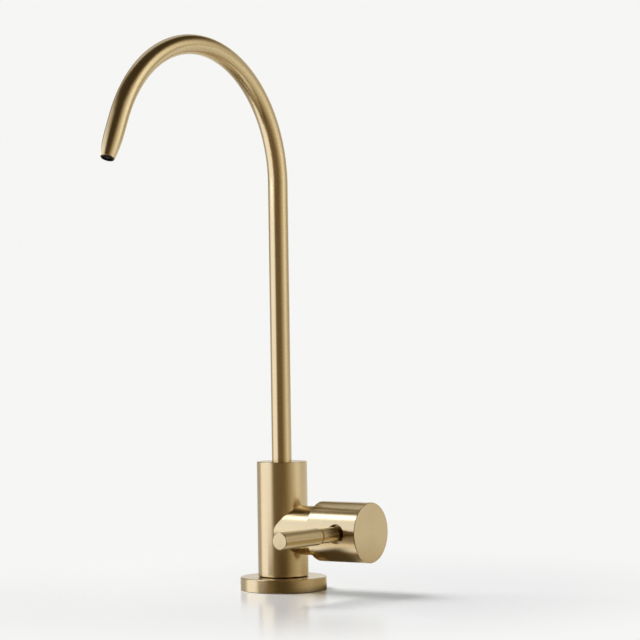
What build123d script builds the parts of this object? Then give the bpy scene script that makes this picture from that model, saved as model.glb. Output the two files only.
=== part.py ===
from build123d import *
from math import cos, radians, sin
import os

# Drinking-water tap: a gooseneck spout turns in a straight column, and a quarter-turn
# ceramic valve lies in a branch on the column's side, under a knob with a rod lever.
# Millimetres. The origin is on the deck at the column's axis, +Z is up, -Y is towards
# the user and +X is the valve's axis. The valve is open, with the lever forward.

# Clearances
RUNNING_FIT = 0.05  # radial, a shaft or stem that turns or slides in its bore
THREAD_FIT = 0.03  # radial, a screwed pair drawn as plain cylinders
SLIP_FIT = 0.05  # radial, a piece pushed into its seat
SEAL_FIT = 0.04  # radial, a squeezed O-ring against the wall it wipes
END_FLOAT = 0.1  # along the axis, a piece that turns against a shoulder
DISC_FILM = 0.05  # between the lapped faces of the two ceramic discs
SEAL_ROOM = 0.6  # along the axis, an O-ring in its groove

# Column, branch and base
BODY_OD = 30.6
BODY_TOP = 77.8
BODY_EDGE = 0.4
BRANCH_STEP = 1.0  # how much thinner the branch is than the column
BRANCH_REACH = 29.45  # from the column's axis to the branch's mouth
BRANCH_EDGE = 0.15
VALVE_Z = 36.4
FLANGE_OD = 52.4
FLANGE_HEIGHT = 8.0
FLANGE_WALL = 3.0
FLANGE_TOP = 3.0
FLANGE_EDGE = 0.5
BASE_RING = 0.5
BASE_RING_INSET = 0.5
GASKET_PROUD = 0.3  # how far the soft gasket stands below the flange's rim
WATERWAY = 6.0  # bore of the water's passages in the column

# Spout
TUBE_OD = 12.0
TUBE_WALL = 1.0
TUBE_INSERT = 5.0  # how deep the tube enters the column
ARCH_START = 246.0
ARCH_RADIUS = 78.0
ARCH_ANGLE = 156.2
ARCH_END_OD = 11.2  # the tube narrows evenly along the arch
NOSE_LENGTH = 26.0  # straight end, from the arch to the rim
NOSE_TAPER = 16.0  # its drawn-down part
NOSE_OD = 8.3
NOSE_LAND = 5.0  # bored seat of the insert
NOSE_WALL = 0.7
NOSE_EDGE = 0.35
INSERT_LIP_OD = 7.6
INSERT_PROUD = 0.4  # lip below the nose's rim
INSERT_WALL = 0.6
STEM_BORE = 6.6
STEM_SPIGOT = 8.0
SOCKET_ABOVE_VALVE = 17.0  # from the valve's axis up to the socket's floor
STEM_RING_SECTION = 1.7
STEM_RING_FIRST = 3.2  # centre of the lower O-ring above the stem's foot
STEM_RING_STEP = 4.4
SPLIT_RING_RISE = 13.2  # centre of the split ring above the stem's foot
SPLIT_RING_HEIGHT = 2.4
SPLIT_RING_REACH = 0.45  # how far it stands out of the stem
SPLIT_RING_SEAT = 1.0  # how deep it sits in the stem
SPLIT_RING_GAP = 25.0  # degrees
SPLIT_RING_PLAY = 0.3

# Valve, from the chamber's floor outwards
CHAMBER_FLOOR = 7.0
CHAMBER_OD = 18.0
BONNET_THREAD_OD = 21.0
SEAT_SEAL = 2.0
DISC_OD = 13.8
DISC_THICKNESS = 2.4
DISC_PORT_INNER = 3.4
DISC_PORT_OUTER = 10.8
DISC_PORT_ANGLE = 80.0
DISC_LUG = 3.0
FOOT_THICKNESS = 2.1
TONGUE_WIDTH = 2.6
TONGUE_LENGTH = 10.0
TONGUE_DEPTH = 1.0
THRUST_WASHER = 0.6
DISC_ROOM = 0.2  # radial room round the discs in the housing
HOUSING_WALL = 1.2
HOUSING_SHOULDER = 2.6  # flange of the housing, clamped by the bonnet nut
HOUSING_END_WALL = 1.8
HOUSING_WINDOW_ANGLE = 80.0
CARTRIDGE_RING_SECTION = 1.2
JOURNAL_OD = 8.0
NECK_OD = 13.0
SPINDLE_RING_SECTION = 1.1
SPINDLE_RING_STEP = 2.6
BONNET_HEX = 22.0  # across flats
BONNET_HEX_HEIGHT = 5.0
BONNET_LIFT = 0.3  # hexagon clear of the branch's mouth
BONNET_EDGE = 0.5
NECK_PROUD = 0.5  # neck past the nut's face
STOP_THICKNESS = 2.0
STOP_TOOTH_ANGLE = 130.0
STOP_PLAY_ANGLE = 1.0
HANDLE_TRAVEL = 90.0
CLIP_THICKNESS = 0.8
CLIP_OD = 10.0
CLIP_SEAT = 0.7
CLIP_GAP = 70.0  # degrees
SPLINE_TEETH = 16
SPLINE_DEPTH = 0.45

# Knob and lever
KNOB_OD = 36.0
KNOB_LENGTH = 34.9
KNOB_GAP = 0.35  # between the branch's mouth and the knob's back
KNOB_BORE = 27.0
KNOB_FACE = 4.0
KNOB_EDGE = 0.5
KNOB_BACK_EDGE = 0.3
HUB_SLEEVE_OD = 14.0
HUB_SLEEVE_GAP = 0.5  # behind the spindle's clip
HUB_GRIP = 6.5  # length of spline in the hub
HUB_WEB = 3.0
HUB_SCREW_OD = 4.0
HUB_SCREW_HEAD_OD = 7.0
HUB_SCREW_HEAD = 4.0
HUB_SCREW_REACH = 6.0
HUB_SCREW_KEY = 3.0
LEVER_INSET = 13.7  # from the knob's face back to the lever's axis
LEVER_REACH = 73.3  # from the valve's axis to the lever's end
LEVER_STEP = 36.7  # from the valve's axis to the grip's shoulder
LEVER_NECK_OD = 8.8
LEVER_GRIP_OD = 10.0
LEVER_EDGE = 0.5
LEVER_GROOVE = 1.9  # undercut behind the grip's shoulder
LEVER_GROOVE_DEPTH = 0.9
LEVER_HOLE_ROOM = 0.15
LEVER_SPOT_OD = 11.8  # flat-bottomed recess round the lever in the knob's side
LEVER_SPOT_DEPTH = 3.6
LEVER_STUD_OD = 6.0
LEVER_STUD_END = 5.6  # stud's end from the valve's axis

# Deck fixing and inlet
DECK_GAP = 12.0
SHANK_OD = 11.11
SHANK_BORE = 7.0
SHANK_GRIP = 12.0  # screwed into the column
SHANK_BELOW = 62.0
SHANK_HOLE_ROOM = 0.4
WASHER_ROOM = 0.3
RUBBER_WASHER_OD = 30.0
RUBBER_WASHER = 3.0
STEEL_WASHER_OD = 32.0
STEEL_WASHER = 1.6
LOCK_WASHER_OD = 19.0
LOCK_WASHER = 0.9
LOCK_TEETH = 12
LOCK_TOOTH_WIDTH = 2.0
LOCK_TOOTH_DEPTH = 1.8
NUT_HEX = 17.5
NUT_HEIGHT = 6.5
NUT_EDGE = 0.6
ADAPTER_OD = 17.0
ADAPTER_HEX = 19.0
ADAPTER_HEX_HEIGHT = 10.0
ADAPTER_GRIP = 12.0  # screwed onto the shank
ADAPTER_EDGE = 0.6
SHANK_SEAL = 1.5
TUBE_PORT = 6.5  # bore for a 6.35 mm supply tube
TUBE_STOP_BORE = 4.8
TUBE_STOP = 2.5
TUBE_GUIDE = 5.0
COLLET_OD = 8.6
COLLET_BUMP_OD = 9.6
COLLET_BUMP = 2.0
COLLET_LENGTH = 8.5
COLLET_TRAVEL = 1.2
COLLET_FLANGE_OD = 11.6
COLLET_FLANGE = 1.2
COLLET_SLOT = 1.0
COLLET_ROOM = 0.2
COLLET_CONE = 1.6  # cone in the mouth that presses the sleeve's bump inwards
COLLET_CATCH = 0.3  # how far the bump reaches into the cone

BASE = (Align.CENTER, Align.CENTER, Align.MIN)
TOP = (Align.CENTER, Align.CENTER, Align.MAX)

# Heights on the column's axis
body_bottom = FLANGE_HEIGHT + BASE_RING
socket_floor = VALVE_Z + SOCKET_ABOVE_VALVE
socket_r = TUBE_OD / 2 + RUNNING_FIT
stem_foot = socket_floor + END_FLOAT
tube_foot = BODY_TOP - TUBE_INSERT
split_ring_z = stem_foot + SPLIT_RING_RISE
nose_bore_r = NOSE_OD / 2 - NOSE_WALL

# Stations on the valve's axis, from the column's axis outwards
fixed_disc_x = CHAMBER_FLOOR + SEAT_SEAL
moving_disc_x = fixed_disc_x + DISC_THICKNESS + DISC_FILM
foot_x = moving_disc_x + DISC_THICKNESS
thrust_x = foot_x + FOOT_THICKNESS + DISC_FILM
cavity_end = thrust_x + THRUST_WASHER + DISC_FILM
clamp_x = cavity_end + HOUSING_END_WALL
shoulder_x = clamp_x - HOUSING_SHOULDER
cartridge_ring_x = shoulder_x - CARTRIDGE_RING_SECTION
hex_x = BRANCH_REACH + BONNET_LIFT
neck_end = hex_x + BONNET_HEX_HEIGHT + NECK_PROUD
stop_end = neck_end + STOP_THICKNESS
clip_x = stop_end + DISC_FILM
sleeve_x = clip_x + CLIP_THICKNESS + HUB_SLEEVE_GAP
hub_x = sleeve_x + HUB_GRIP
spindle_end = hub_x - END_FLOAT
screw_seat_x = hub_x + HUB_WEB
knob_back = BRANCH_REACH + KNOB_GAP
knob_face = knob_back + KNOB_LENGTH
hub_face = knob_face - KNOB_FACE
lever_x = knob_face - LEVER_INSET
lever_hole_r = LEVER_NECK_OD / 2 + LEVER_HOLE_ROOM
lever_seat = ((KNOB_BORE / 2 - SLIP_FIT) ** 2 - lever_hole_r**2) ** 0.5
lever_spot = KNOB_OD / 2 - LEVER_SPOT_DEPTH
housing_bore_r = DISC_OD / 2 + DISC_ROOM
housing_r = housing_bore_r + HOUSING_WALL
disc_r = DISC_OD / 2
journal_r = JOURNAL_OD / 2
spline_r = journal_r - SLIP_FIT

# Heights under the deck
rubber_top = -DECK_GAP
steel_top = rubber_top - RUBBER_WASHER
lock_top = steel_top - STEEL_WASHER
nut_top = lock_top - LOCK_WASHER
adapter_top = ADAPTER_GRIP - SHANK_SEAL - SHANK_BELOW
seal_bottom = -SHANK_BELOW - SHANK_SEAL
tube_stop_z = seal_bottom - TUBE_STOP
guide_end = tube_stop_z - TUBE_GUIDE
collet_bore_r = COLLET_BUMP_OD / 2 + COLLET_ROOM
adapter_ring_section = collet_bore_r - SEAL_FIT - TUBE_PORT / 2
ring_seat_end = guide_end - adapter_ring_section - SEAL_ROOM
collet_top = ring_seat_end - COLLET_TRAVEL - COLLET_ROOM
cone_top = collet_top - COLLET_BUMP + COLLET_CATCH
mouth_z = collet_top - COLLET_LENGTH + COLLET_TRAVEL + COLLET_ROOM

# Frames: the valve's axis, the lever's axis and the nose's axis each become a local Z
arch_end = radians(ARCH_ANGLE)
valve_frame = Plane(origin=(0, 0, VALVE_Z), x_dir=(0, 1, 0), z_dir=(1, 0, 0))
lever_frame = Plane(origin=(lever_x, 0, VALVE_Z), x_dir=(1, 0, 0), z_dir=(0, -1, 0))
nose_frame = Plane(
    origin=(0, ARCH_RADIUS * (cos(arch_end) - 1), ARCH_START + ARCH_RADIUS * sin(arch_end)),
    x_dir=(1, 0, 0),
    z_dir=(0, -sin(arch_end), cos(arch_end)),
)


def turned(*corners):
    """Solid of revolution about Z with straight sides, from (radius, height) corners."""
    outline = Polyline(*[(radius, 0, height) for radius, height in corners], close=True)
    return revolve(make_face(outline), Axis.Z)


def disc(radius, low, high):
    """Solid cylinder about Z between two heights."""
    return Pos(0, 0, low) * Cylinder(radius, high - low, align=BASE)


def ring(outer, inner, low, high):
    """Hollow cylinder about Z between two heights."""
    return disc(outer, low, high) - disc(inner, low, high)


def o_ring(outer, section, height):
    """O-ring about Z with its outer radius, section and the height of its middle."""
    return Pos(0, 0, height) * Torus(outer - section / 2, section / 2)


def sector(inner, outer, middle, width, low, high):
    """Ring sector about Z, angles in degrees."""
    front = CenterArc((0, 0), outer, middle - width / 2, width)
    back = CenterArc((0, 0), inner, middle + width / 2, -width)
    outline = make_face([front, Line(front @ 1, back @ 0), back, Line(back @ 1, front @ 0)])
    return Pos(0, 0, low) * extrude(outline, high - low, dir=(0, 0, 1))


def hexagon(across_flats, low, high, edge):
    """Hexagon bar about Z whose corners are turned down at both ends."""
    corner = across_flats / 3**0.5
    bar = Pos(0, 0, low) * extrude(RegularPolygon(corner, 6), high - low)
    barrel = turned(
        (0, low),
        (corner - edge, low),
        (corner, low + edge / 2),
        (corner, high - edge / 2),
        (corner - edge, high),
        (0, high),
    )
    return bar & barrel


def spline_bar(root, tip, low, high):
    """Toothed bar about Z for the spindle's end and the bores that fit it."""
    step = 180 / SPLINE_TEETH
    angles = [radians(step * i) for i in range(2 * SPLINE_TEETH)]
    radii = [tip, root] * SPLINE_TEETH
    outline = Polyline(*[(r * cos(a), r * sin(a)) for r, a in zip(radii, angles)], close=True)
    return Pos(0, 0, low) * extrude(make_face(outline), high - low, dir=(0, 0, 1))


def spline_hole(low, high):
    """Bore that slides over the spindle's toothed end."""
    return spline_bar(spline_r - SPLINE_DEPTH + SLIP_FIT, spline_r + SLIP_FIT, low, high)


def nose_outline(start_r, end_r, land):
    """Edges of one wall of the drawn-down nose, from the arch to the rim."""
    bend = NOSE_LENGTH - NOSE_TAPER
    straight = Line((start_r, 0, 0), (start_r, 0, bend))
    draw = TangentArc((start_r, 0, bend), (end_r, 0, NOSE_LENGTH - land), tangent=(0, 0, 1))
    if land == 0:
        return [straight, draw]
    return [straight, draw, Line(draw @ 1, (end_r, 0, NOSE_LENGTH))]


def arch_solid(start_r, end_r):
    """Solid bar along the arch whose radius changes evenly from start to end."""
    half = arch_end / 2
    middle = (0, ARCH_RADIUS * (cos(half) - 1), ARCH_START + ARCH_RADIUS * sin(half))
    path = ThreePointArc((0, 0, ARCH_START), middle, nose_frame.origin)
    sections = [Pos(0, 0, ARCH_START) * Circle(start_r), nose_frame * Circle(end_r)]
    return sweep(sections, path=path, multisection=True)


def spout_tube():
    outer, inner = TUBE_OD / 2, TUBE_OD / 2 - TUBE_WALL
    end_outer, end_inner = ARCH_END_OD / 2, ARCH_END_OD / 2 - TUBE_WALL
    rise = ring(outer, inner, tube_foot, ARCH_START)
    arch = arch_solid(outer, end_outer) - arch_solid(inner, end_inner)
    walls = nose_outline(end_outer, NOSE_OD / 2, 0)
    bore = nose_outline(end_inner, nose_bore_r, NOSE_LAND)
    ends = [Line((end_inner, 0, 0), (end_outer, 0, 0)), Line(bore[-1] @ 1, walls[-1] @ 1)]
    nose = revolve(make_face(walls + bore + ends), Axis.Z)
    rim = nose.edges().filter_by(GeomType.CIRCLE).group_by(Axis.Z)[-1].sort_by(SortBy.RADIUS)[-1]
    nose = fillet(rim, NOSE_EDGE)
    return rise + arch + nose_frame * nose


def stream_straightener():
    outer = nose_bore_r - SLIP_FIT
    bore = outer - INSERT_WALL
    low, end = NOSE_LENGTH - NOSE_LAND + INSERT_WALL, NOSE_LENGTH + INSERT_PROUD
    sleeve = turned(
        (bore, low),
        (outer, low),
        (outer, NOSE_LENGTH),
        (INSERT_LIP_OD / 2, NOSE_LENGTH),
        (INSERT_LIP_OD / 2, end),
        (bore, end),
    )
    rib = Pos(0, 0, low) * Box(2 * bore + INSERT_WALL, INSERT_WALL, NOSE_LENGTH - low, align=BASE)
    cross = [Rot(0, 0, angle) * rib for angle in (0, 60, 120)]
    return nose_frame * (sleeve + cross)


def spout_stem():
    outer, bore = TUBE_OD / 2, STEM_BORE / 2
    spigot = TUBE_OD / 2 - TUBE_WALL - SLIP_FIT
    stem = turned(
        (bore, stem_foot),
        (outer, stem_foot),
        (outer, tube_foot),
        (spigot, tube_foot),
        (spigot, tube_foot + STEM_SPIGOT),
        (bore, tube_foot + STEM_SPIGOT),
    )
    floor = socket_r - SEAL_FIT - STEM_RING_SECTION - SEAL_FIT
    half = (STEM_RING_SECTION + SEAL_ROOM) / 2
    for middle in stem_ring_heights():
        stem -= ring(outer + RUNNING_FIT, floor, middle - half, middle + half)
    half = SPLIT_RING_HEIGHT / 2 + END_FLOAT
    seat = outer - SPLIT_RING_SEAT - SLIP_FIT
    return stem - ring(outer + RUNNING_FIT, seat, split_ring_z - half, split_ring_z + half)


def stem_ring_heights():
    first = stem_foot + STEM_RING_FIRST
    return [first, first + STEM_RING_STEP]


def spout_o_ring(middle):
    return o_ring(socket_r - SEAL_FIT, STEM_RING_SECTION, middle)


def spout_retaining_ring():
    half = SPLIT_RING_HEIGHT / 2
    inner, outer = TUBE_OD / 2 - SPLIT_RING_SEAT, TUBE_OD / 2 + SPLIT_RING_REACH
    return sector(inner, outer, 0, 360 - SPLIT_RING_GAP, split_ring_z - half, split_ring_z + half)


def tap_body():
    column = disc(BODY_OD / 2, body_bottom, BODY_TOP)
    rims = column.edges().filter_by(GeomType.CIRCLE)
    column = fillet(rims, BODY_EDGE)
    branch = disc((BODY_OD - BRANCH_STEP) / 2, 0, BRANCH_REACH)
    mouth = branch.edges().filter_by(GeomType.CIRCLE).sort_by(Axis.Z)[-1]
    body = column + valve_frame * chamfer(mouth, BRANCH_EDGE)

    half = SPLIT_RING_HEIGHT / 2 + SPLIT_RING_PLAY
    groove = TUBE_OD / 2 + SPLIT_RING_REACH + SPLIT_RING_PLAY
    body -= disc(socket_r, socket_floor, BODY_TOP)
    body -= disc(groove, split_ring_z - half, split_ring_z + half)

    chamber = turned(
        (0, CHAMBER_FLOOR),
        (CHAMBER_OD / 2, CHAMBER_FLOOR),
        (CHAMBER_OD / 2, cartridge_ring_x),
        (housing_r + CARTRIDGE_RING_SECTION, cartridge_ring_x),
        (housing_r + CARTRIDGE_RING_SECTION, shoulder_x),
        (BONNET_THREAD_OD / 2, shoulder_x),
        (BONNET_THREAD_OD / 2, BRANCH_REACH),
        (0, BRANCH_REACH),
    )
    body -= valve_frame * (chamber + disc(WATERWAY / 2, 0, CHAMBER_FLOOR))

    thread_end = body_bottom + SHANK_GRIP
    body -= disc(SHANK_OD / 2 + THREAD_FIT, body_bottom, thread_end)
    body -= disc(WATERWAY / 2, thread_end, VALVE_Z) + Pos(0, 0, VALVE_Z) * Sphere(WATERWAY / 2)
    return body - outlet_passage()


def outlet_passage():
    """Slanted bore from the top of the valve's chamber to the socket's floor."""
    lower = Vector(moving_disc_x + DISC_THICKNESS / 2, 0, VALVE_Z + CHAMBER_OD / 4)
    upper = Vector(0, 0, socket_floor + WATERWAY / 2)
    run = upper - lower
    frame = Plane(origin=lower, x_dir=(0, 1, 0), z_dir=run)
    return frame * disc(WATERWAY / 2, 0, run.length) & disc(BODY_OD / 2, 0, socket_floor + WATERWAY / 2)


def body_base_ring():
    outer = BODY_OD / 2 - BASE_RING_INSET
    return ring(outer, SHANK_OD / 2 + SHANK_HOLE_ROOM, FLANGE_HEIGHT, body_bottom)


def base_flange():
    cup = disc(FLANGE_OD / 2, GASKET_PROUD, FLANGE_HEIGHT)
    rims = cup.edges().filter_by(GeomType.CIRCLE)
    cup = fillet(rims.sort_by(Axis.Z)[-1], FLANGE_EDGE)
    cup -= disc(FLANGE_OD / 2 - FLANGE_WALL, 0, FLANGE_HEIGHT - FLANGE_TOP)
    return cup - disc(SHANK_OD / 2 + SHANK_HOLE_ROOM, 0, FLANGE_HEIGHT)


def flange_gasket():
    outer = FLANGE_OD / 2 - FLANGE_WALL - SLIP_FIT
    return ring(outer, SHANK_OD / 2 + SHANK_HOLE_ROOM, 0, FLANGE_HEIGHT - FLANGE_TOP)


def seat_seal():
    outer = housing_bore_r - SLIP_FIT
    return valve_frame * ring(outer, DISC_PORT_OUTER / 2, CHAMBER_FLOOR, fixed_disc_x)


def disc_ports(outer, low, high):
    return [
        sector(DISC_PORT_INNER / 2, outer, middle, DISC_PORT_ANGLE, low, high)
        for middle in (90, 270)
    ]


def fixed_disc():
    end = fixed_disc_x + DISC_THICKNESS
    plate = disc(disc_r, fixed_disc_x, end)
    lug_span = 2 * (housing_r - SLIP_FIT)
    lugs = Pos(0, 0, fixed_disc_x) * Box(lug_span, DISC_LUG, DISC_THICKNESS, align=BASE)
    plate += lugs & disc(housing_r - SLIP_FIT, fixed_disc_x, end)
    return valve_frame * (plate - disc_ports(DISC_PORT_OUTER / 2, fixed_disc_x, end))


def moving_disc():
    end = moving_disc_x + DISC_THICKNESS
    plate = disc(disc_r, moving_disc_x, end) - disc_ports(DISC_OD, moving_disc_x, end)
    slot = Box(TONGUE_LENGTH + 2 * SLIP_FIT, TONGUE_WIDTH + 2 * SLIP_FIT, TONGUE_DEPTH, align=TOP)
    return valve_frame * (plate - Pos(0, 0, end) * slot)


def cartridge_housing():
    shell = turned(
        (housing_bore_r, CHAMBER_FLOOR + SEAT_SEAL / 2),
        (housing_r, CHAMBER_FLOOR + SEAT_SEAL / 2),
        (housing_r, shoulder_x),
        (BONNET_THREAD_OD / 2 - SLIP_FIT, shoulder_x),
        (BONNET_THREAD_OD / 2 - SLIP_FIT, clamp_x),
        (NECK_OD / 2, clamp_x),
        (NECK_OD / 2, neck_end),
        (journal_r + RUNNING_FIT, neck_end),
        (journal_r + RUNNING_FIT, cavity_end),
        (housing_bore_r, cavity_end),
    )
    for middle in (90, 270):
        shell -= sector(
            journal_r, CHAMBER_OD, middle, HOUSING_WINDOW_ANGLE, moving_disc_x, cartridge_ring_x
        )
    lug_slot = Box(CHAMBER_OD, DISC_LUG + 2 * SLIP_FIT, DISC_THICKNESS + SEAT_SEAL, align=BASE)
    shell -= Pos(0, 0, CHAMBER_FLOOR) * lug_slot
    tooth_inner = journal_r + DISC_ROOM
    shell += sector(tooth_inner, NECK_OD / 2, 180, STOP_TOOTH_ANGLE, neck_end, stop_end)
    return valve_frame * shell


def cartridge_o_ring():
    outer = housing_r + CARTRIDGE_RING_SECTION - SEAL_FIT
    section = CARTRIDGE_RING_SECTION - 2 * SEAL_FIT
    return valve_frame * o_ring(outer, section, shoulder_x - CARTRIDGE_RING_SECTION / 2)


def spindle_ring_stations():
    first = cavity_end + SPINDLE_RING_STEP
    return [first, first + SPINDLE_RING_STEP]


def valve_spindle():
    foot = disc(disc_r, foot_x, foot_x + FOOT_THICKNESS)
    tongue = Box(TONGUE_LENGTH, TONGUE_WIDTH, TONGUE_DEPTH - SLIP_FIT, align=TOP)
    spindle = foot + Pos(0, 0, foot_x) * tongue
    spindle += disc(journal_r, foot_x + FOOT_THICKNESS, neck_end)
    spindle += spline_bar(spline_r - SPLINE_DEPTH, spline_r, neck_end, spindle_end)
    floor = journal_r - SPINDLE_RING_SECTION - SEAL_FIT
    half = (SPINDLE_RING_SECTION + SEAL_ROOM) / 2
    for middle in spindle_ring_stations():
        spindle -= ring(JOURNAL_OD, floor, middle - half, middle + half)
    clip_floor = spline_r - SPLINE_DEPTH - CLIP_SEAT
    clip_end = clip_x + CLIP_THICKNESS + DISC_FILM
    spindle -= ring(JOURNAL_OD, clip_floor, stop_end, clip_end)
    screw_hole = HUB_SCREW_OD / 2 + THREAD_FIT
    return valve_frame * (spindle - disc(screw_hole, spindle_end - HUB_SCREW_REACH, spindle_end))


def spindle_o_ring(station):
    return valve_frame * o_ring(journal_r + RUNNING_FIT - SEAL_FIT, SPINDLE_RING_SECTION, station)


def spindle_thrust_washer():
    outer = housing_bore_r - SLIP_FIT
    return valve_frame * ring(outer, journal_r + DISC_ROOM, thrust_x, thrust_x + THRUST_WASHER)


def stop_ring():
    low = neck_end + END_FLOAT
    collar = disc(journal_r + DISC_ROOM / 2, low, stop_end)
    dog_angle = 360 - STOP_TOOTH_ANGLE - HANDLE_TRAVEL - 2 * STOP_PLAY_ANGLE
    first_side = 180 - STOP_TOOTH_ANGLE / 2 - STOP_PLAY_ANGLE
    dog = sector(spline_r, NECK_OD / 2, first_side - dog_angle / 2, dog_angle, low, stop_end)
    return valve_frame * (collar + dog - spline_hole(low, stop_end))


def spindle_clip():
    inner = spline_r - SPLINE_DEPTH - CLIP_SEAT + SLIP_FIT
    end = clip_x + CLIP_THICKNESS
    return valve_frame * sector(inner, CLIP_OD / 2, 90, 360 - CLIP_GAP, clip_x, end)


def bonnet_nut():
    nut = disc(BONNET_THREAD_OD / 2 - THREAD_FIT, clamp_x, hex_x)
    nut += hexagon(BONNET_HEX, hex_x, hex_x + BONNET_HEX_HEIGHT, BONNET_EDGE)
    return valve_frame * (nut - disc(NECK_OD / 2 + SLIP_FIT, clamp_x, hex_x + BONNET_HEX_HEIGHT))


def handle_hub():
    outer = KNOB_BORE / 2 - SLIP_FIT
    hub = disc(HUB_SLEEVE_OD / 2, sleeve_x, hub_x) + disc(outer, hub_x, hub_face)
    hub -= spline_hole(sleeve_x, hub_x)
    hub -= disc(HUB_SCREW_OD / 2 + SLIP_FIT, hub_x, screw_seat_x)
    hub -= disc(HUB_SCREW_HEAD_OD / 2 + SLIP_FIT, screw_seat_x, hub_face)
    stud_hole = disc(LEVER_STUD_OD / 2 + THREAD_FIT, LEVER_STUD_END - END_FLOAT, lever_seat)
    spot_face = disc(lever_hole_r, lever_seat, KNOB_OD / 2)
    return valve_frame * hub - lever_frame * (stud_hole + spot_face)


def hub_screw():
    head_end = screw_seat_x + HUB_SCREW_HEAD
    tip = spindle_end - HUB_SCREW_REACH + 2 * END_FLOAT
    screw = disc(HUB_SCREW_OD / 2, tip, screw_seat_x)
    screw += disc(HUB_SCREW_HEAD_OD / 2, screw_seat_x, head_end)
    key = extrude(RegularPolygon(HUB_SCREW_KEY / 3**0.5, 6), HUB_SCREW_HEAD / 2)
    return valve_frame * (screw - Pos(0, 0, head_end - HUB_SCREW_HEAD / 2) * key)


def knob_shell():
    shell = turned(
        (KNOB_BORE / 2, knob_back),
        (KNOB_OD / 2 - KNOB_BACK_EDGE, knob_back),
        (KNOB_OD / 2, knob_back + KNOB_BACK_EDGE),
        (KNOB_OD / 2, knob_face),
        (0, knob_face),
        (0, hub_face),
        (KNOB_BORE / 2, hub_face),
    )
    face_rim = shell.edges().filter_by(GeomType.CIRCLE).group_by(Axis.Z)[-1]
    shell = valve_frame * fillet(face_rim, KNOB_EDGE)
    lever_hole = disc(lever_hole_r, 0, KNOB_OD / 2) + disc(LEVER_SPOT_OD / 2, lever_spot, KNOB_OD / 2)
    return shell - lever_frame * lever_hole


def lever():
    neck, grip = LEVER_NECK_OD / 2, LEVER_GRIP_OD / 2
    rod = turned(
        (0, LEVER_STUD_END),
        (LEVER_STUD_OD / 2, LEVER_STUD_END),
        (LEVER_STUD_OD / 2, lever_seat),
        (neck, lever_seat),
        (neck, LEVER_STEP - LEVER_GROOVE),
        (neck - LEVER_GROOVE_DEPTH, LEVER_STEP - LEVER_GROOVE),
        (neck - LEVER_GROOVE_DEPTH, LEVER_STEP),
        (grip - LEVER_EDGE / 2, LEVER_STEP),
        (grip, LEVER_STEP + LEVER_EDGE / 2),
        (grip, LEVER_REACH),
        (0, LEVER_REACH),
    )
    end_rim = rod.edges().filter_by(GeomType.CIRCLE).group_by(Axis.Z)[-1]
    return lever_frame * fillet(end_rim, LEVER_EDGE)


def shank():
    return ring(SHANK_OD / 2, SHANK_BORE / 2, -SHANK_BELOW, body_bottom + SHANK_GRIP)


def clamp_washer(outer_diameter, top, thickness):
    return ring(outer_diameter / 2, SHANK_OD / 2 + WASHER_ROOM, top - thickness, top)


def clamp_lock_washer():
    washer = clamp_washer(LOCK_WASHER_OD, lock_top, LOCK_WASHER)
    notch = Pos(LOCK_WASHER_OD / 2, 0, nut_top) * Box(
        2 * LOCK_TOOTH_DEPTH, LOCK_TOOTH_WIDTH, LOCK_WASHER, align=BASE
    )
    return washer - [Rot(0, 0, 360 / LOCK_TEETH * i) * notch for i in range(LOCK_TEETH)]


def mounting_nut():
    nut = hexagon(NUT_HEX, nut_top - NUT_HEIGHT, nut_top, NUT_EDGE)
    return nut - disc(SHANK_OD / 2 + RUNNING_FIT, nut_top - NUT_HEIGHT, nut_top)


def inlet_adapter():
    hex_end = adapter_top - ADAPTER_HEX_HEIGHT
    adapter = hexagon(ADAPTER_HEX, hex_end, adapter_top, ADAPTER_EDGE)
    adapter += disc(ADAPTER_OD / 2, mouth_z, hex_end)
    mouth_rim = adapter.edges().filter_by(GeomType.CIRCLE).group_by(Axis.Z)[0]
    adapter = chamfer(mouth_rim, ADAPTER_EDGE)
    bore = turned(
        (0, adapter_top),
        (SHANK_OD / 2 + THREAD_FIT, adapter_top),
        (SHANK_OD / 2 + THREAD_FIT, seal_bottom),
        (TUBE_STOP_BORE / 2, seal_bottom),
        (TUBE_STOP_BORE / 2, tube_stop_z),
        (TUBE_PORT / 2, tube_stop_z),
        (TUBE_PORT / 2, guide_end),
        (collet_bore_r, guide_end),
        (collet_bore_r, cone_top),
        (COLLET_OD / 2 + COLLET_ROOM, cone_top - COLLET_CONE),
        (COLLET_OD / 2 + COLLET_ROOM, mouth_z),
        (0, mouth_z),
    )
    return adapter - bore


def shank_seal():
    return ring(SHANK_OD / 2 - SLIP_FIT, TUBE_STOP_BORE / 2, seal_bottom, -SHANK_BELOW)


def adapter_o_ring():
    return o_ring(collet_bore_r - SEAL_FIT, adapter_ring_section, (guide_end + ring_seat_end) / 2)


def adapter_collet():
    end = collet_top - COLLET_LENGTH - COLLET_FLANGE
    collet = turned(
        (TUBE_PORT / 2, collet_top),
        (COLLET_BUMP_OD / 2, collet_top),
        (COLLET_BUMP_OD / 2, collet_top - COLLET_BUMP),
        (COLLET_OD / 2, collet_top - COLLET_BUMP - (COLLET_BUMP_OD - COLLET_OD) / 2),
        (COLLET_OD / 2, collet_top - COLLET_LENGTH),
        (COLLET_FLANGE_OD / 2, collet_top - COLLET_LENGTH),
        (COLLET_FLANGE_OD / 2, end),
        (TUBE_PORT / 2, end),
    )
    slot_length = COLLET_LENGTH - COLLET_FLANGE
    slot = Pos(0, 0, collet_top) * Box(COLLET_BUMP_OD, COLLET_SLOT, slot_length, align=TOP)
    return collet - slot - Rot(0, 0, 90) * slot


lower_ring_z, upper_ring_z = stem_ring_heights()
inner_ring_x, outer_ring_x = spindle_ring_stations()

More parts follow.
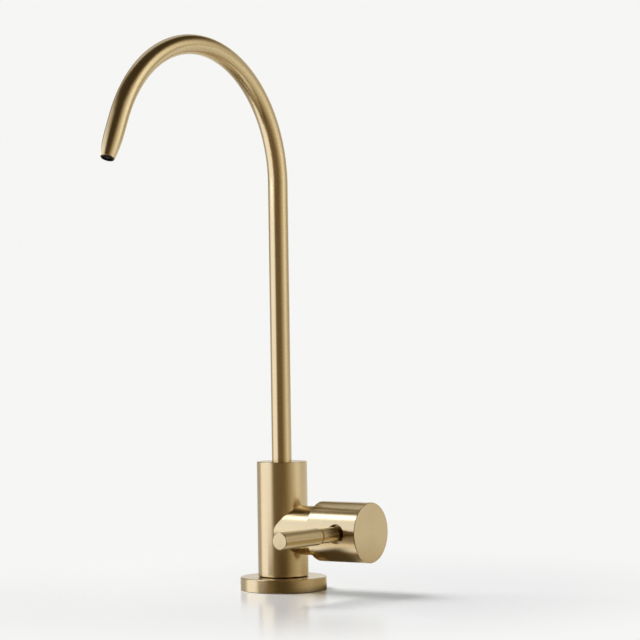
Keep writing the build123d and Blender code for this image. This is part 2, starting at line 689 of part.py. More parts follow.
pieces = {
    "spout_tube": spout_tube(),
    "stream_straightener": stream_straightener(),
    "spout_stem": spout_stem(),
    "spout_o_ring_lower": spout_o_ring(lower_ring_z),
    "spout_o_ring_upper": spout_o_ring(upper_ring_z),
    "spout_retaining_ring": spout_retaining_ring(),
    "tap_body": tap_body(),
    "body_base_ring": body_base_ring(),
    "base_flange": base_flange(),
    "flange_gasket": flange_gasket(),
    "seat_seal": seat_seal(),
    "fixed_disc": fixed_disc(),
    "moving_disc": moving_disc(),
    "cartridge_housing": cartridge_housing(),
    "cartridge_o_ring": cartridge_o_ring(),
    "valve_spindle": valve_spindle(),
    "spindle_o_ring_inner": spindle_o_ring(inner_ring_x),
    "spindle_o_ring_outer": spindle_o_ring(outer_ring_x),
    "spindle_thrust_washer": spindle_thrust_washer(),
    "stop_ring": stop_ring(),
    "spindle_clip": spindle_clip(),
    "bonnet_nut": bonnet_nut(),
    "handle_hub": handle_hub(),
    "hub_screw": hub_screw(),
    "knob_shell": knob_shell(),
    "lever": lever(),
    "shank": shank(),
    "clamp_rubber_washer": clamp_washer(RUBBER_WASHER_OD, rubber_top, RUBBER_WASHER),
    "clamp_steel_washer": clamp_washer(STEEL_WASHER_OD, steel_top, STEEL_WASHER),
    "clamp_lock_washer": clamp_lock_washer(),
    "mounting_nut": mounting_nut(),
    "inlet_adapter": inlet_adapter(),
    "shank_seal": shank_seal(),
    "adapter_o_ring": adapter_o_ring(),
    "adapter_collet": adapter_collet(),
}

os.makedirs("parts", exist_ok=True)
for name, piece in pieces.items():
    export_step(piece, f"parts/{name}.step")
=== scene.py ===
"""Looks of a kitchen tap: finishes, screw thread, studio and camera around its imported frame."""
import math

import bmesh
import bpy
from mathutils import Matrix, Vector


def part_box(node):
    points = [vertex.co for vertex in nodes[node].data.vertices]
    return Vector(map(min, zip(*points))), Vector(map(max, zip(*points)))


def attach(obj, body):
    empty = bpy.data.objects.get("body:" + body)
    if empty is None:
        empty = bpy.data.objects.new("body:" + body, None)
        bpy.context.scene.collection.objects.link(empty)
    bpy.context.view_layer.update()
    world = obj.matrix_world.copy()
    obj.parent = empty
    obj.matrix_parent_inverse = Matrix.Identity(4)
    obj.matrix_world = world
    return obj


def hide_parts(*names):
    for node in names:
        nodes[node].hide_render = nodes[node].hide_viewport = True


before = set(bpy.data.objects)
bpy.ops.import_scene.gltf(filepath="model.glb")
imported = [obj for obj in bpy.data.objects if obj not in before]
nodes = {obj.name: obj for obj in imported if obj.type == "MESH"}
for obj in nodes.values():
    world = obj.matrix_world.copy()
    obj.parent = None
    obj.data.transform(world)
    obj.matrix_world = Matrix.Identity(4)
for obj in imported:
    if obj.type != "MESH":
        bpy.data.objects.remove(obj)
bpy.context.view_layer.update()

MM = 0.001
X, Y, Z = Vector((1, 0, 0)), Vector((0, 1, 0)), Vector((0, 0, 1))
SHARP_ANGLE = 25  # degrees between two faces, from which their edge is drawn sharp

# Camera, fitted to the photograph: metres and degrees, azimuth from -Y towards +X
CAMERA_AZIMUTH = 36.078
CAMERA_DISTANCE = 1442.9 * MM
CAMERA_HEIGHT = 149.2 * MM
CAMERA_YAW = -0.971
CAMERA_PITCH = 0.561
CAMERA_ROLL = -0.847
CAMERA_LENS = 133.36  # millimetres, as the sensor
CAMERA_SENSOR = 36
CAMERA_NEAR, CAMERA_FAR = 0.05, 50

# Spout's centreline, as in the solids
ARCH_START = 246 * MM
ARCH_RADIUS = 78 * MM

# Screw thread of the shank, 24 turns to the inch
THREAD_PITCH = 25.4 / 24 * MM
THREAD_DEPTH = 0.55 * MM
THREAD_PROFILE = ((0.0, 1.0), (0.38, 0.0), (0.50, 0.0), (0.88, 1.0))  # shares of the pitch and the depth
THREAD_SIDES = 48
THREAD_CHAMFER = 0.8 * MM
SHANK_BORE = 7 * MM
WELD = 0.001 * MM  # points closer together than this become one
RIM = 0.01 * MM  # points closer to an end than this lie on its rim

# Satin gold and its brush lines
GOLD = (0.725, 0.576, 0.336)
GOLD_PALE = (0.790, 0.638, 0.386)
GOLD_ROUGHNESS = (0.205, 0.260)
GOLD_ANISOTROPY = 0.3
WIPE_ROUGHNESS = (-0.008, 0.008)
BRUSH_LINE = 0.22 * MM  # width of a line
BRUSH_STROKES = 5.0  # strokes in one radian round a turned piece
BRUSH_FACE = 1.3  # how much denser the lines are on a flat face

# Painted shade inside the pocket that the lever leaves the knob by: its dark colour, distances from the
# lever's axis, and places along Y
POCKET_PAINTED_SHADE = (0.36, 0.28, 0.16)
POCKET_EDGE = (6.0 * MM, 5.9 * MM)
POCKET_MOUTH = (-15.9 * MM, -14.5 * MM)

# Other finishes
BRASS = (0.62, 0.44, 0.19)
BRASS_PALE = (0.74, 0.56, 0.28)

# Parts of the noise's range that are carried to a whole range of colour or roughness
NARROW, MIDDLE, BROAD = (0.35, 0.65), (0.30, 0.70), (0.25, 0.75)

# Studio. Turns are degrees round the tap from the camera's side, positive to its right, away is the same
# unsigned, and lifts are elevations in degrees. A pair of them is where a soft edge starts and ends.
SURROUND = (0.92, 0.92, 0.91)
AMBIENT = (0.16, 0.16, 0.16)
COOL = (1.0, 1.08, 1.28)
FRESH = (1.0, 1.07, 1.10)
ICY = (1.0, 1.25, 1.75)
WARM_GREEN, WARM_BLUE = 1.12, 1.4  # powers that warm a half-tone

# Tent: colours, and its openings on the left behind, on the right and steeply below
TENT_RADIUS = 3.0
TENT_DARK = (0.17, 0.125, 0.072)
TENT_ROOF = (0.055, 0.040, 0.021)
ROOF_LIFT = (4, 36)
LEFT_TURN, LEFT_LIFT = (-98, -122), (-75, -8)
LEFT_TOP_TURN, LEFT_TOP_LIFT, LEFT_TOP_SOFT = (-172, -150), (16, 12), 10
RIGHT_TURN, RIGHT_LIFT, RIGHT_LEVEL = (2, 80), (-40, 14), (0.55, 1.0)
RIGHT_TOP_TURN, RIGHT_TOP_LIFT, RIGHT_TOP_SOFT = (100, 165), (44, 30), 14
STEEP_LIFT, STEEP_TURN, STEEP_AWAY, STEEP_LEVEL = (-30, -60), (-70, -20), (110, 70), 0.42

# Tint of what shows through the tent: behind on the right, higher up there, and behind on the left
OPEN = (1, 1, 1)
BACK_RIGHT, BACK_RIGHT_AWAY = (0.93, 0.955, 0.98), (80, 100)
RAISED, RAISED_LIFT, RAISED_END = (0.54, 0.50, 0.43), (-4, 3.5), (130, 165)
BACK_LEFT_TURN, BACK_LEFT_LEVEL = (-174, -154), (0.92, 0.50)
TO_LEFT = (0, -90)

# Skirt: a low dark ring, open on the left and behind
SKIRT_RADIUS = 300 * MM
SKIRT_LOW, SKIRT_HIGH = -185 * MM, -1 * MM
SKIRT_SOFT = 10 * MM
SKIRT_FRONT, SKIRT_RIGHT = (0.050, 0.032, 0.012), (0.40, 0.32, 0.195)
SKIRT_RIGHT_TURN, SKIRT_LEFT_TURN = (4, 64), (-12, -36)
SKIRT_OPEN_TURN, SKIRT_OPEN_AWAY = (-64, -78), (130, 165)

# Floor, and the painted shadow at its foot: a dark patch that only the metal mirrors
FLOOR_RADIUS = 6.0
FLOOR_FADE = (100 * MM, 300 * MM)
FLOOR_DULL, FLOOR_PALE = (0.76, 0.76, 0.76), (0.82, 0.82, 0.815)
FLOOR_GRAIN = 220.0
FLOOR_ROUGHNESS = 0.16
FLOOR_SHINE = 0.2
FOOT_PAINTED_SHADOW = (0.065, 0.048, 0.022)
FOOT_EDGE, FOOT_TURN = (40 * MM, 50 * MM), (14, -8)


def centre(node):
    """Middle of a node's box at rest."""
    low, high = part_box(node)
    return (low + high) / 2


def add(tree, kind, inputs=None, **settings):
    """Adds a node, sets its properties, and sets or links its inputs."""
    made = tree.nodes.new(kind)
    for name, value in settings.items():
        setattr(made, name, value)
    for name, value in (inputs or {}).items():
        if isinstance(value, bpy.types.NodeSocket):
            tree.links.new(value, made.inputs[name])
        else:
            made.inputs[name].default_value = value
    return made


def maths(tree, operation, *values):
    """Output of a Math node."""
    return add(tree, "ShaderNodeMath", dict(enumerate(values)), operation=operation).outputs[0]


def product(tree, first, *others):
    """Values multiplied together."""
    for other in others:
        first = maths(tree, "MULTIPLY", first, other)
    return first


def vectors(tree, operation, *values, output="Vector"):
    """Output of a Vector Math node."""
    return add(tree, "ShaderNodeVectorMath", dict(enumerate(values)), operation=operation).outputs[output]


def scaled(tree, vector, factor):
    """Vector times a number."""
    inputs = {0: vector, "Scale": factor}
    return add(tree, "ShaderNodeVectorMath", inputs, operation="SCALE").outputs["Vector"]


def mapped(tree, value, low, high, to_low, to_high):
    """Value carried from one range to another, held at the ends."""
    inputs = {"Value": value, "From Min": low, "From Max": high, "To Min": to_low, "To Max": to_high}
    return add(tree, "ShaderNodeMapRange", inputs).outputs["Result"]


def ramp(tree, value, low, high):
    """Soft step from 0 at low to 1 at high."""
    inputs = {"Value": value, "From Min": low, "From Max": high}
    return add(tree, "ShaderNodeMapRange", inputs, interpolation_type="SMOOTHSTEP").outputs["Result"]


def noise(tree, vector, scale, detail=2.0):
    """Grey noise round 0.5."""
    inputs = {"Vector": vector, "Scale": scale, "Detail": detail}
    return add(tree, "ShaderNodeTexNoise", inputs).outputs["Fac"]


def rgba(colour):
    """A written colour with its alpha, or a socket as it is."""
    return colour if isinstance(colour, bpy.types.NodeSocket) else (*colour, 1)


def blended(tree, factor, first, second):
    """Colour between two colours."""
    inputs = {"Factor": factor, 6: rgba(first), 7: rgba(second)}
    return add(tree, "ShaderNodeMix", inputs, data_type="RGBA").outputs[2]


def mixed(tree, factor, first, second):
    """Shader between two shaders."""
    return add(tree, "ShaderNodeMixShader", {0: factor, 1: first, 2: second}).outputs[0]


def place(tree):
    """Position on the piece, which moves with it."""
    return add(tree, "ShaderNodeTexCoord").outputs["Object"]


def material(name, **sockets):
    """New material whose shader has these sockets set."""
    made = bpy.data.materials.new(name)
    made.use_nodes = True
    tree = made.node_tree
    shader = tree.nodes["Principled BSDF"]
    for socket, value in sockets.items():
        shader.inputs[socket.replace("_", " ")].default_value = value
    return made, tree, shader


def bare_material(name):
    """New material with an empty node tree."""
    made = bpy.data.materials.new(name)
    made.use_nodes = True
    made.node_tree.nodes.clear()
    return made, made.node_tree


def connect(tree, shader, sockets):
    """Links values to a shader's sockets."""
    for socket, value in sockets.items():
        tree.links.new(value, shader.inputs[socket])


def turned_lay(tree, axis, through):
    """Brush coordinates of a piece turned about an axis, and the direction across its lines."""
    offset = vectors(tree, "SUBTRACT", place(tree), through)
    along = vectors(tree, "DOT_PRODUCT", offset, axis, output="Value")
    outward = vectors(tree, "SUBTRACT", offset, scaled(tree, axis, along))
    radius = vectors(tree, "LENGTH", outward, output="Value")
    spoke = vectors(tree, "NORMALIZE", outward)
    line = maths(tree, "MULTIPLY_ADD", radius, BRUSH_FACE, along)
    return brush_coordinates(tree, spoke, axis, line)


def spout_lay(tree):
    """Brush coordinates of the bent tube, and the direction across its lines."""
    at = add(tree, "ShaderNodeSeparateXYZ", {0: place(tree)}).outputs
    rise = maths(tree, "MAXIMUM", maths(tree, "SUBTRACT", at["Z"], ARCH_START), 0.0)
    back = maths(tree, "ADD", at["Y"], ARCH_RADIUS)
    square = maths(tree, "MULTIPLY_ADD", rise, rise, maths(tree, "MULTIPLY", back, back))
    bend = maths(tree, "ARCTAN2", rise, back)
    line = maths(tree, "MULTIPLY_ADD", bend, ARCH_RADIUS, maths(tree, "MINIMUM", at["Z"], ARCH_START))
    aside = maths(tree, "SUBTRACT", maths(tree, "SQRT", square), ARCH_RADIUS)
    spoke = add(tree, "ShaderNodeCombineXYZ", {"X": at["X"], "Y": aside}).outputs[0]
    coordinates, _ = brush_coordinates(tree, vectors(tree, "NORMALIZE", spoke), Z, line)
    run = add(tree, "ShaderNodeCombineXYZ", {
        "Y": maths(tree, "MULTIPLY", maths(tree, "SINE", bend), -1.0),
        "Z": maths(tree, "COSINE", bend),
    }).outputs[0]
    return coordinates, run


def brush_coordinates(tree, spoke, axis, line):
    """Noise coordinates that change fast across the lines and slowly along them."""
    strokes = scaled(tree, spoke, BRUSH_STROKES)
    across = scaled(tree, axis, maths(tree, "DIVIDE", line, BRUSH_LINE))
    return vectors(tree, "ADD", strokes, across), vectors(tree, "ADD", spoke, axis)


def painted_pocket_shade(tree, through):
    """Mask of the painted shade: 1 deep inside the pocket that the lever leaves the knob by, 0 outside it.
    """
    at = vectors(tree, "SUBTRACT", place(tree), through)
    apart = vectors(tree, "LENGTH", vectors(tree, "MULTIPLY", at, X + Z), output="Value")
    front = add(tree, "ShaderNodeSeparateXYZ", {0: place(tree)}).outputs["Y"]
    lever_side = maths(tree, "LESS_THAN", front, 0.0)
    return product(tree, ramp(tree, apart, *POCKET_EDGE), ramp(tree, front, *POCKET_MOUTH), lever_side)


def brushed_gold(name, lay, pocket=None):
    """Satin gold with fine brush lines, a soft cloudiness and faint wipe marks, and painted shade inside a
    pocket.
    """
    made, tree, shader = material(name, Metallic=1.0, Anisotropic=GOLD_ANISOTROPY)
    coordinates, across = lay(tree)
    lines = noise(tree, coordinates, 1.0, detail=3.0)
    bands = noise(tree, coordinates, 0.24)
    cloud = noise(tree, place(tree), 45.0)
    wipes = noise(tree, place(tree), 160.0, detail=4.0)
    soft = maths(tree, "MULTIPLY_ADD", bands, 0.3, maths(tree, "MULTIPLY", cloud, 0.2))
    shade = maths(tree, "MULTIPLY_ADD", lines, 0.5, soft)
    colour = blended(tree, mapped(tree, shade, *NARROW, 0.0, 1.0), GOLD, GOLD_PALE)
    if pocket:
        # Painted shade: darker gold deep in the lever's pocket on the knob
        colour = blended(tree, painted_pocket_shade(tree, pocket), colour, POCKET_PAINTED_SHADE)
    brushed = mapped(tree, lines, *BROAD, *GOLD_ROUGHNESS)
    rough = maths(tree, "ADD", brushed, mapped(tree, wipes, *MIDDLE, *WIPE_ROUGHNESS))
    frames = {"convert_from": "OBJECT", "convert_to": "WORLD"}
    tangent = add(tree, "ShaderNodeVectorTransform", {0: across}, **frames).outputs[0]
    connect(tree, shader, {"Base Color": colour, "Roughness": rough, "Tangent": tangent})
    return made


def machined_metal(name, dark, pale, axis, through, rough):
    """Bright metal with turning marks round an axis."""
    made, tree, shader = material(name, Metallic=1.0)
    coordinates, _ = turned_lay(tree, axis, through)
    lines = noise(tree, coordinates, 0.6)
    stain = noise(tree, place(tree), 120.0, detail=3.0)
    shade = maths(tree, "MULTIPLY_ADD", stain, 0.5, maths(tree, "MULTIPLY", lines, 0.5))
    colour = blended(tree, mapped(tree, shade, *NARROW, 0.0, 1.0), dark, pale)
    bump = add(tree, "ShaderNodeBump", {"Height": lines, "Strength": 0.2, "Distance": 0.03 * MM}).outputs[0]
    roughness = mapped(tree, stain, *MIDDLE, rough - 0.06, rough + 0.08)
    connect(tree, shader, {"Base Color": colour, "Roughness": roughness, "Normal": bump})
    return made


def moulded(name, dark, pale, rough, grain, depth, shine=0.5):
    """Moulded plastic, rubber or fired clay with a fine grain."""
    made, tree, shader = material(name, Specular_IOR_Level=shine)
    speck = noise(tree, place(tree), grain, detail=3.0)
    cloud = noise(tree, place(tree), grain / 12)
    colour = blended(tree, mapped(tree, cloud, *MIDDLE, 0.0, 1.0), dark, pale)
    roughness = mapped(tree, speck, *MIDDLE, rough - 0.07, rough + 0.07)
    bump = add(tree, "ShaderNodeBump", {"Height": speck, "Strength": 0.3, "Distance": depth}).outputs[0]
    connect(tree, shader, {"Base Color": colour, "Roughness": roughness, "Normal": bump})
    return made


def finish_node(node, made):
    """Gives a CAD node its material."""
    for slot in nodes[node].material_slots:
        slot.material = made


def dress_gold():
    """Brush lines follow each piece's own axis."""
    valve, lever = centre("knob_shell"), centre("lever")
    lays = {
        "tap_body": lambda tree: turned_lay(tree, Z, Vector()),
        "base_flange": lambda tree: turned_lay(tree, Z, Vector()),
        "knob_shell": lambda tree: turned_lay(tree, X, valve),
        "lever": lambda tree: turned_lay(tree, Y, lever),
        "spout_tube": spout_lay,
    }
    for node, lay in lays.items():
        # Only the knob gets painted shade, in the pocket round the lever
        pocket = lever if node == "knob_shell" else None
        finish_node(node, brushed_gold("brushed_gold_" + node, lay, pocket))


def dress_others():
    """Inner pieces and the fixing under the flange."""
    valve = centre("knob_shell")
    upright_brass = machined_metal("brass_upright", BRASS, BRASS_PALE, Z, Vector(), rough=0.27)
    valve_brass = machined_metal("brass_valve", BRASS, BRASS_PALE, X, valve, rough=0.27)
    steel = machined_metal("stainless", (0.50, 0.50, 0.49), (0.64, 0.64, 0.63), Z, Vector(), rough=0.3)
    black = moulded("black_plastic", (0.005, 0.005, 0.006), (0.009, 0.009, 0.010),
                    rough=0.30, grain=900.0, depth=0.01 * MM, shine=0.15)
    rubber = moulded("rubber", (0.016, 0.016, 0.017), (0.028, 0.028, 0.029),
                     rough=0.68, grain=1500.0, depth=0.02 * MM)
    nylon = moulded("white_nylon", (0.74, 0.73, 0.68), (0.81, 0.80, 0.76),
                    rough=0.45, grain=900.0, depth=0.01 * MM)
    ceramic = moulded("ceramic", (0.78, 0.77, 0.74), (0.84, 0.83, 0.80),
                      rough=0.16, grain=1200.0, depth=0.003 * MM)
    white = moulded("white_acetal", (0.74, 0.74, 0.72), (0.80, 0.80, 0.78),
                    rough=0.38, grain=900.0, depth=0.01 * MM)
    grey = moulded("grey_acetal", (0.17, 0.18, 0.19), (0.22, 0.23, 0.24),
                   rough=0.40, grain=900.0, depth=0.01 * MM)
    finishes = {
        upright_brass: ("spout_stem", "shank", "mounting_nut"),
        valve_brass: ("cartridge_housing", "valve_spindle", "stop_ring", "bonnet_nut", "handle_hub"),
        steel: ("spindle_clip", "hub_screw", "clamp_steel_washer", "clamp_lock_washer"),
        black: ("stream_straightener", "body_base_ring"),
        rubber: ("flange_gasket", "seat_seal", "cartridge_o_ring", "spindle_o_ring_inner",
                 "spindle_o_ring_outer", "spout_o_ring_lower", "spout_o_ring_upper",
                 "clamp_rubber_washer", "shank_seal", "adapter_o_ring"),
        nylon: ("spout_retaining_ring", "spindle_thrust_washer"),
        ceramic: ("fixed_disc", "moving_disc"),
        white: ("inlet_adapter",),
        grey: ("adapter_collet",),
    }
    for made, names in finishes.items():
        for node in names:
            finish_node(node, made)
    return upright_brass


def threaded_shank(brass):
    """Shank with a real screw thread, in the place of the plain one."""
    low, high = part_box("shank")
    crest = (high.x - low.x) / 2
    turns = math.ceil((high.z - low.z) / THREAD_PITCH) + 2
    mesh = bmesh.new()

    def vertex(radius, angle, height):
        return mesh.verts.new((radius * math.cos(angle), radius * math.sin(angle), height))

    rows = []
    for turn in range(turns):
        for share, depth in THREAD_PROFILE:
            row = []
            for side in range(THREAD_SIDES):
                angle = math.tau * side / THREAD_SIDES
                height = low.z + THREAD_PITCH * (turn - 1 + share + side / THREAD_SIDES)
                edge = min(height - low.z, high.z - height)
                held = min(max(height, low.z), high.z)
                limit = crest - max(0.0, THREAD_CHAMFER - max(edge, 0.0))
                row.append(vertex(min(crest - THREAD_DEPTH * depth, limit), angle, held))
            rows.append(row)
    step = len(THREAD_PROFILE)
    for index in range(len(rows) - 1):
        for side in range(THREAD_SIDES):
            if side + 1 < THREAD_SIDES:
                lower, upper = rows[index][side + 1], rows[index + 1][side + 1]
            elif index + 1 + step < len(rows):
                lower, upper = rows[index + step][0], rows[index + 1 + step][0]
            else:
                continue
            mesh.faces.new((rows[index][side], lower, upper, rows[index + 1][side]))
    bmesh.ops.remove_doubles(mesh, verts=mesh.verts, dist=WELD)
    bmesh.ops.dissolve_degenerate(mesh, dist=WELD, edges=mesh.edges)
    close_tube(mesh, SHANK_BORE / 2, low.z, high.z)
    piece = new_piece("shank_threaded", mesh, brass)
    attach(piece, "base")
    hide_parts("shank")


def close_tube(mesh, bore, low, high):
    """Adds the bore and the flat ends to an outer skin."""
    loose = [e for e in mesh.edges if len(e.link_faces) < 2]
    rims = []
    for height in (low, high):
        outer = [e for e in loose if all(abs(v.co.z - height) < RIM for v in e.verts)]
        ring = bmesh.ops.create_circle(mesh, segments=THREAD_SIDES, radius=bore,
                                       matrix=Matrix.Translation((0, 0, height)))["verts"]
        inner = list({e for v in ring for e in v.link_edges})
        bmesh.ops.bridge_loops(mesh, edges=outer + inner)
        rims.append(inner)
    bmesh.ops.bridge_loops(mesh, edges=rims[0] + rims[1])
    bmesh.ops.recalc_face_normals(mesh, faces=mesh.faces)


def new_piece(name, mesh, made):
    """Object from a finished bmesh, smooth except at its sharp edges."""
    data = bpy.data.meshes.new(name)
    mesh.to_mesh(data)
    mesh.free()
    data.materials.append(made)
    data.shade_smooth()
    data.set_sharp_from_angle(angle=math.radians(SHARP_ANGLE))
    piece = bpy.data.objects.new(name, data)
    bpy.context.scene.collection.objects.link(piece)
    return piece


def aim():
    """Camera's axes in the part's frame: right, up and forward."""
    turn = math.radians(CAMERA_AZIMUTH + CAMERA_YAW)
    pitch, roll = math.radians(CAMERA_PITCH), math.radians(CAMERA_ROLL)
    forward = Vector((-math.sin(turn) * math.cos(pitch), math.cos(turn) * math.cos(pitch), math.sin(pitch)))
    level = Vector((math.cos(turn), math.sin(turn), 0))
    upright = level.cross(forward)
    right = level * math.cos(roll) + upright * math.sin(roll)
    up = upright * math.cos(roll) - level * math.sin(roll)
    return right, up, forward


def around(angle, elevation, distance):
    """Point round the tap: angle from the camera's side, positive to its right."""
    turn, lift = math.radians(CAMERA_AZIMUTH + angle), math.radians(elevation)
    flat = distance * math.cos(lift)
    return Vector((flat * math.sin(turn), -flat * math.cos(turn), distance * math.sin(lift)))


def set_camera():
    """Camera where the photograph was taken from."""
    data = bpy.data.cameras.new("camera")
    data.lens = CAMERA_LENS
    data.sensor_width = CAMERA_SENSOR
    data.clip_start, data.clip_end = CAMERA_NEAR, CAMERA_FAR
    camera = bpy.data.objects.new("camera", data)
    bpy.context.scene.collection.objects.link(camera)
    right, up, forward = aim()
    turned = Matrix((right, up, -forward)).transposed().to_4x4()
    spot = around(0, 0, CAMERA_DISTANCE) + Z * CAMERA_HEIGHT
    camera.matrix_world = Matrix.Translation(spot) @ turned
    bpy.context.scene.camera = camera


def half_tones(tree, share):
    """Colour of a share of the light, warmer where the share is small."""
    green = maths(tree, "POWER", share, WARM_GREEN)
    blue = maths(tree, "POWER", share, WARM_BLUE)
    return add(tree, "ShaderNodeCombineColor", {0: share, 1: green, 2: blue}).outputs[0]


def softbox(name, spot, facing, width, height, level, soft, tint=(1, 1, 1)):
    """Glowing panel with soft edges, seen only in reflections."""
    half = 0.5
    mesh = bmesh.new()
    bmesh.ops.create_grid(mesh, x_segments=1, y_segments=1, size=half)
    made, tree = bare_material(name)
    at = add(tree, "ShaderNodeSeparateXYZ", {0: place(tree)}).outputs
    sides = [ramp(tree, maths(tree, "ABSOLUTE", at[axis]), half, half - soft) for axis in ("X", "Y")]
    colour = vectors(tree, "MULTIPLY", half_tones(tree, product(tree, *sides)), tint)
    glow = add(tree, "ShaderNodeEmission", {"Color": colour, "Strength": level}).outputs[0]
    clear = add(tree, "ShaderNodeBsdfTransparent").outputs[0]
    behind = add(tree, "ShaderNodeNewGeometry").outputs["Backfacing"]
    lit = add(tree, "ShaderNodeAddShader", {0: glow, 1: clear}).outputs[0]
    add(tree, "ShaderNodeOutputMaterial", {"Surface": mixed(tree, behind, lit, clear)})
    panel = new_piece(name, mesh, made)
    turned = facing.to_track_quat("Z", "Y").to_matrix().to_4x4()
    panel.matrix_world = Matrix.Translation(spot) @ turned @ Matrix.Diagonal((width, height, 1, 1))
    panel.visible_camera = False
    panel.visible_diffuse = False
    panel.visible_shadow = False


def upright_softbox(name, angle, distance, low, high, width, level, soft, tint=(1, 1, 1)):
    """Softbox that stands facing the column."""
    spot = around(angle, 0, distance) + Z * (low + high) / 2
    softbox(name, spot, -around(angle, 0, 1), width, high - low, level, soft, tint)


def bearings(tree):
    """Angle round the tap from the camera's side, the same unsigned, and the elevation, in degrees."""
    look = vectors(tree, "NORMALIZE", place(tree))
    front = vectors(tree, "DOT_PRODUCT", look, around(0, 0, 1), output="Value")
    side = vectors(tree, "DOT_PRODUCT", look, around(90, 0, 1), output="Value")
    height = vectors(tree, "DOT_PRODUCT", look, Z, output="Value")
    turn = maths(tree, "DEGREES", maths(tree, "ARCTAN2", side, front))
    return turn, maths(tree, "ABSOLUTE", turn), maths(tree, "DEGREES", maths(tree, "ARCSINE", height))


def tent_opening(tree):
    """How far the tent is open, and the tint of what shows through it."""
    turn, away, lift = bearings(tree)
    left_top = mapped(tree, turn, *LEFT_TOP_TURN, *LEFT_TOP_LIFT)
    left_roof = ramp(tree, maths(tree, "SUBTRACT", lift, left_top), LEFT_TOP_SOFT, -LEFT_TOP_SOFT)
    left = product(tree, ramp(tree, turn, *LEFT_TURN), ramp(tree, lift, *LEFT_LIFT), left_roof)
    right_top = mapped(tree, turn, *RIGHT_TOP_TURN, *RIGHT_TOP_LIFT)
    right_roof = ramp(tree, maths(tree, "SUBTRACT", lift, right_top), RIGHT_TOP_SOFT, -RIGHT_TOP_SOFT)
    right_level = mapped(tree, lift, *RIGHT_LIFT, *RIGHT_LEVEL)
    right = product(tree, ramp(tree, turn, *RIGHT_TURN), right_level, right_roof)
    steep = product(tree, ramp(tree, lift, *STEEP_LIFT), ramp(tree, turn, *STEEP_TURN),
                    ramp(tree, away, *STEEP_AWAY), STEEP_LEVEL)
    share = maths(tree, "ADD", left, maths(tree, "ADD", right, steep))
    raised = blended(tree, ramp(tree, lift, *RAISED_LIFT), BACK_RIGHT, RAISED)
    raised = blended(tree, ramp(tree, away, *RAISED_END), raised, BACK_RIGHT)
    right_tint = blended(tree, ramp(tree, away, *BACK_RIGHT_AWAY), OPEN, raised)
    left_tint = mapped(tree, turn, *BACK_LEFT_TURN, *BACK_LEFT_LEVEL)
    return share, blended(tree, ramp(tree, turn, *TO_LEFT), right_tint, left_tint)


def tent_colour(tree):
    """The tent darkens towards its roof."""
    _, _, lift = bearings(tree)
    return blended(tree, ramp(tree, lift, *ROOF_LIFT), TENT_DARK, TENT_ROOF)


def skirt_opening(tree):
    """How far the skirt is open, with soft rims, and its tint. It shows only from inside."""
    turn, away, _ = bearings(tree)
    height = add(tree, "ShaderNodeSeparateXYZ", {0: place(tree)}).outputs["Z"]
    sides = maths(tree, "MAXIMUM", ramp(tree, turn, *SKIRT_OPEN_TURN), ramp(tree, away, *SKIRT_OPEN_AWAY))
    over = ramp(tree, height, SKIRT_HIGH - SKIRT_SOFT, SKIRT_HIGH)
    under = ramp(tree, height, SKIRT_LOW + SKIRT_SOFT, SKIRT_LOW)
    outside = maths(tree, "SUBTRACT", 1.0, add(tree, "ShaderNodeNewGeometry").outputs["Backfacing"])
    rims = maths(tree, "MAXIMUM", over, under)
    return maths(tree, "MAXIMUM", outside, maths(tree, "MAXIMUM", sides, rims)), OPEN


def skirt_colour(tree):
    """The skirt is darkest in front of the tap."""
    turn, _, _ = bearings(tree)
    right = blended(tree, ramp(tree, turn, *SKIRT_RIGHT_TURN), SKIRT_FRONT, SKIRT_RIGHT)
    return blended(tree, ramp(tree, turn, *SKIRT_LEFT_TURN), right, TENT_DARK)


def flag(name, mesh, colour, openness):
    """Dark studio cloth that only the metal mirrors, clear where the white surround shows through."""
    made, tree = bare_material(name)
    share, tint = openness(tree)
    inputs = {"Color": colour(tree), "Strength": maths(tree, "SUBTRACT", 1.0, share)}
    dark = add(tree, "ShaderNodeEmission", inputs).outputs[0]
    through = vectors(tree, "MULTIPLY", half_tones(tree, share), tint)
    clear = add(tree, "ShaderNodeBsdfTransparent", {"Color": through}).outputs[0]
    both = add(tree, "ShaderNodeAddShader", {0: dark, 1: clear}).outputs[0]
    add(tree, "ShaderNodeOutputMaterial", {"Surface": both})
    cloth = new_piece(name, mesh, made)
    cloth.visible_camera = False
    cloth.visible_diffuse = False
    cloth.visible_transmission = False
    cloth.visible_shadow = False


def set_flags():
    """Dark tent all round the tap, and a low skirt round its foot."""
    mesh = bmesh.new()
    bmesh.ops.create_uvsphere(mesh, u_segments=64, v_segments=32, radius=TENT_RADIUS)
    flag("tent", mesh, tent_colour, tent_opening)
    mesh = bmesh.new()
    middle = Matrix.Translation(Z * (SKIRT_HIGH + SKIRT_LOW) / 2)
    bmesh.ops.create_cone(mesh, cap_ends=False, segments=96, radius1=SKIRT_RADIUS, radius2=SKIRT_RADIUS,
                          depth=SKIRT_HIGH - SKIRT_LOW, matrix=middle)
    flag("skirt", mesh, skirt_colour, skirt_opening)


def key_lamp(angle, elevation, distance, size, power):
    """Soft lamp that lights the floor and the plastics, but isn't mirrored by the metal."""
    data = bpy.data.lights.new("key_lamp", "AREA")
    data.shape = "DISK"
    data.size = size
    data.energy = power
    lamp = bpy.data.objects.new("key_lamp", data)
    bpy.context.scene.collection.objects.link(lamp)
    spot = around(angle, elevation, distance)
    lamp.matrix_world = Matrix.Translation(spot) @ spot.to_track_quat("Z", "Y").to_matrix().to_4x4()
    lamp.visible_glossy = False
    lamp.visible_camera = False


def white_rays(tree):
    """1 for the rays that see the white surround: the camera's, mirrored ones, and those passed on."""
    rays = add(tree, "ShaderNodeLightPath").outputs
    seen = maths(tree, "MAXIMUM", rays["Is Camera Ray"], rays["Is Glossy Ray"])
    return maths(tree, "MAXIMUM", seen, rays["Is Transmission Ray"])


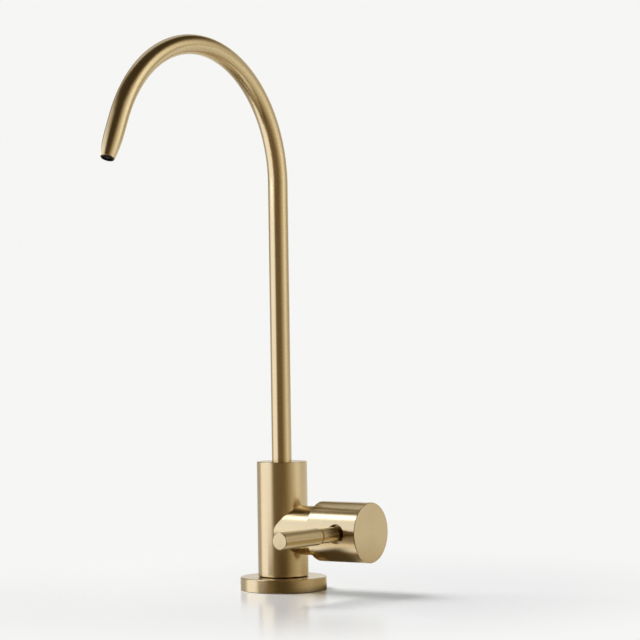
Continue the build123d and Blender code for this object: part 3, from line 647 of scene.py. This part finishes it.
def set_surround():
    """World: white to look at, and a plain grey light."""
    world = bpy.data.worlds.new("studio")
    bpy.context.scene.world = world
    world.use_nodes = True
    tree = world.node_tree
    tree.nodes.clear()
    light = add(tree, "ShaderNodeBackground", {"Color": rgba(AMBIENT)}).outputs[0]
    white = add(tree, "ShaderNodeBackground", {"Color": rgba(SURROUND)}).outputs[0]
    add(tree, "ShaderNodeOutputWorld", {"Surface": mixed(tree, white_rays(tree), light, white)})


def set_floor():
    """Pale floor that fades into the white surround and is open to a look from below.

    The metal mirrors only a dark patch of it at the foot, a painted shadow.
    """
    mesh = bmesh.new()
    bmesh.ops.create_circle(mesh, cap_ends=True, segments=96, radius=FLOOR_RADIUS)
    made, tree = bare_material("floor")
    far = vectors(tree, "LENGTH", place(tree), output="Value")
    grain = noise(tree, place(tree), FLOOR_GRAIN, detail=3.0)
    pale = blended(tree, grain, FLOOR_DULL, FLOOR_PALE)
    gloss = {"Base Color": pale, "Roughness": FLOOR_ROUGHNESS, "Specular IOR Level": FLOOR_SHINE}
    near = add(tree, "ShaderNodeBsdfPrincipled", gloss).outputs[0]
    clear = add(tree, "ShaderNodeBsdfTransparent").outputs[0]
    white = add(tree, "ShaderNodeEmission", {"Color": rgba(SURROUND)}).outputs[0]
    surround = mixed(tree, white_rays(tree), clear, white)
    top = mixed(tree, ramp(tree, far, *FLOOR_FADE), near, surround)
    turn, _, _ = bearings(tree)
    # Painted shadow: a dark glow near the foot on the right, seen only in the metal's reflections
    dark = add(tree, "ShaderNodeEmission", {"Color": rgba(FOOT_PAINTED_SHADOW)}).outputs[0]
    beyond = maths(tree, "MAXIMUM", ramp(tree, far, *FOOT_EDGE), ramp(tree, turn, *FOOT_TURN))
    mirrored = mixed(tree, beyond, dark, clear)
    glossy = add(tree, "ShaderNodeLightPath").outputs["Is Glossy Ray"]
    below = add(tree, "ShaderNodeNewGeometry").outputs["Backfacing"]
    seen = mixed(tree, below, mixed(tree, glossy, top, mirrored), clear)
    add(tree, "ShaderNodeOutputMaterial", {"Surface": seen})
    floor = new_piece("floor", mesh, made)


def set_panels():
    """Panels for the reflections: metres, and degrees from the camera's side."""
    upright_softbox("panel_left", angle=-80, distance=0.32, low=-0.34, high=0.56, width=0.56,
                    level=0.96, soft=0.26, tint=COOL)
    upright_softbox("panel_right", angle=84, distance=0.60, low=0.10, high=1.00, width=0.70,
                    level=0.45, soft=0.5, tint=FRESH)
    upright_softbox("panel_strip", angle=68, distance=0.60, low=-0.10, high=0.70, width=0.14,
                    level=0.26, soft=0.5, tint=FRESH)
    upright_softbox("panel_back", angle=-158, distance=0.8, low=0.40, high=2.40, width=1.70,
                    level=0.55, soft=0.3)
    upright_softbox("panel_low", angle=-90, distance=0.12, low=-0.26, high=-0.04, width=0.26,
                    level=0.95, soft=0.38, tint=COOL)
    over = around(-79, 0, 0.185) + Z * 0.27
    softbox("panel_over", over, facing=-Z, width=0.16, height=0.16, level=3.6, soft=0.5, tint=ICY)


dress_gold()
threaded_shank(dress_others())
set_camera()
set_surround()
set_floor()
set_flags()
set_panels()
key_lamp(angle=-132, elevation=50, distance=2.6, size=1.40, power=92.0)

bpy.context.scene.view_settings.view_transform = "Standard"
bpy.context.view_layer.update()
